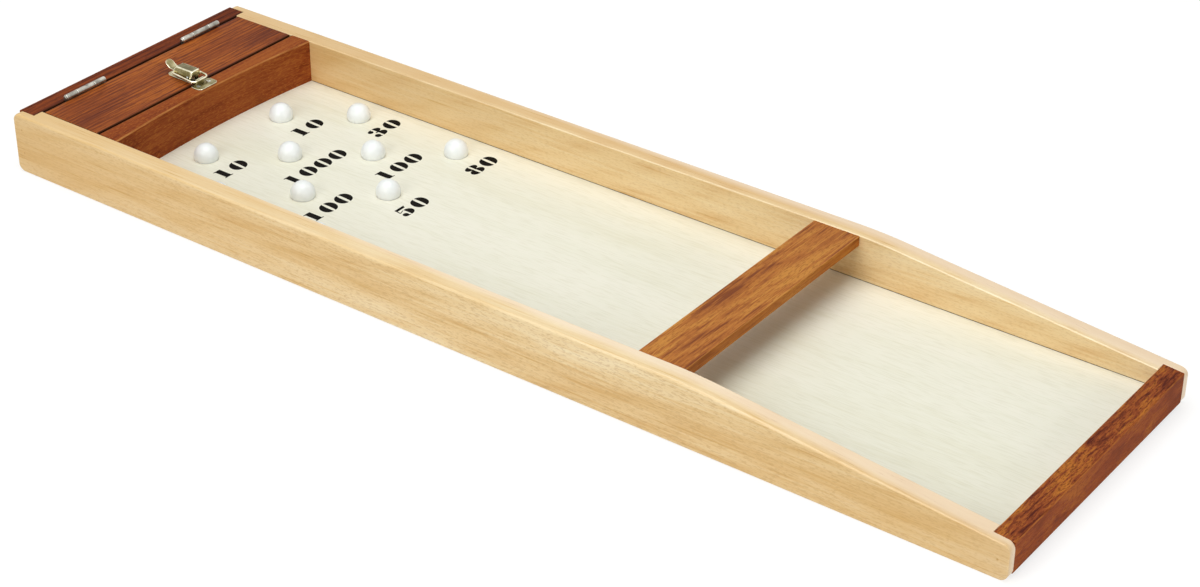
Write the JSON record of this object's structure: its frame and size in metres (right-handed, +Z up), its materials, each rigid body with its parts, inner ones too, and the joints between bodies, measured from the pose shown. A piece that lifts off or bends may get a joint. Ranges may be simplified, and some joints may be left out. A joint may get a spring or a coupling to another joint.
{
  "type": "table billiards board",
  "caption": "Table billiards board: long tray with tapering side rails, scoring holes, a starting bridge, white balls and a latched lid over a ball box",
  "frame": {"origin": "middle of the board's underside, on the table top", "axes": "X across the board with the player's left at -X, +Y from the player's end to the ball box, +Z up"},
  "size_m": [0.284, 1, 0.0693],
  "materials": {
    "beech": "clear matt lacquer on beech",
    "plywood": "pale lacquered plywood with printed numbers",
    "dark_wood": "oiled red-brown hardwood",
    "dowel_wood": "bare beech dowel",
    "steel": "bright zinc",
    "hinge_steel": "dull nickel",
    "plated_steel": "yellow zinc on pressed steel",
    "ball": "glossy white"
  },
  "bodies": {
    "board": {"left_rail": "beech", "right_rail": "beech", "playing_bed": "plywood", "near_rail": "dark_wood", "back_rail": "dark_wood", "bridge": "dark_wood", "box_front": "dark_wood", "bridge_dowels": "dowel_wood", "box_front_dowels": "dowel_wood", "end_rail_pins": "steel", "hinge_rail_screws": "steel", "strike_screws": "steel", "left_hinge_rail_leaf": "hinge_steel", "left_hinge_pin": "hinge_steel", "right_hinge_rail_leaf": "hinge_steel", "right_hinge_pin": "hinge_steel", "latch_strike": "plated_steel"},
    "lid": {"lid": "dark_wood", "left_hinge_lid_leaf": "hinge_steel", "right_hinge_lid_leaf": "hinge_steel", "hinge_lid_screws": "steel", "latch_base": "plated_steel", "latch_rivet": "plated_steel", "latch_base_screws": "steel"},
    "latch_lever": {"latch_lever": "plated_steel"},
    "latch_loop": {"latch_loop": "plated_steel"},
    "ball_1": {"ball_1": "ball"},
    "ball_2": {"ball_2": "ball"},
    "ball_3": {"ball_3": "ball"},
    "ball_4": {"ball_4": "ball"},
    "ball_5": {"ball_5": "ball"},
    "ball_6": {"ball_6": "ball"},
    "ball_7": {"ball_7": "ball"},
    "ball_8": {"ball_8": "ball"},
    "ball_9": {"ball_9": "ball"},
    "ball_10": {"ball_10": "ball"}
  },
  "joints": [
    {"name": "lid_hinge", "type": "hinge", "parent": "board", "child": "lid", "pos_m": [0, 0.4799, 0.05968], "axis": [-1, 0, 0], "range_deg": [0, 180]},
    {"name": "latch_pivot", "type": "hinge", "parent": "lid", "child": "latch_lever", "pos_m": [0, 0.417, 0.0626], "axis": [1, 0, 0], "range_deg": [0, 90]},
    {"name": "loop_pivot", "type": "hinge", "parent": "latch_lever", "child": "latch_loop", "pos_m": [0, 0.434, 0.0638], "axis": [1, 0, 0], "range_deg": [-90, 0]},
    {"name": "ball_1_lift", "type": "slide", "parent": "board", "child": "ball_1", "axis": [0, 0, 1], "range_m": [0, 0.06]},
    {"name": "ball_2_lift", "type": "slide", "parent": "board", "child": "ball_2", "axis": [0, 0, 1], "range_m": [0, 0.06]},
    {"name": "ball_3_lift", "type": "slide", "parent": "board", "child": "ball_3", "axis": [0, 0, 1], "range_m": [0, 0.06]},
    {"name": "ball_4_lift", "type": "slide", "parent": "board", "child": "ball_4", "axis": [0, 0, 1], "range_m": [0, 0.06]},
    {"name": "ball_5_lift", "type": "slide", "parent": "board", "child": "ball_5", "axis": [0, 0, 1], "range_m": [0, 0.06]},
    {"name": "ball_6_lift", "type": "slide", "parent": "board", "child": "ball_6", "axis": [0, 0, 1], "range_m": [0, 0.06]},
    {"name": "ball_7_lift", "type": "slide", "parent": "board", "child": "ball_7", "axis": [0, 0, 1], "range_m": [0, 0.06]},
    {"name": "ball_8_lift", "type": "slide", "parent": "board", "child": "ball_8", "axis": [0, 0, 1], "range_m": [0, 0.06]},
    {"name": "ball_9_lift", "type": "slide", "parent": "board", "child": "ball_9", "axis": [0, 0, 1], "range_m": [0, 0.06]},
    {"name": "ball_10_lift", "type": "slide", "parent": "board", "child": "ball_10", "axis": [0, 0, 1], "range_m": [0, 0.06]}
  ],
  "couplings": [
    {"joint": "loop_pivot", "follows": "latch_pivot", "ratio": -1}
  ]
}
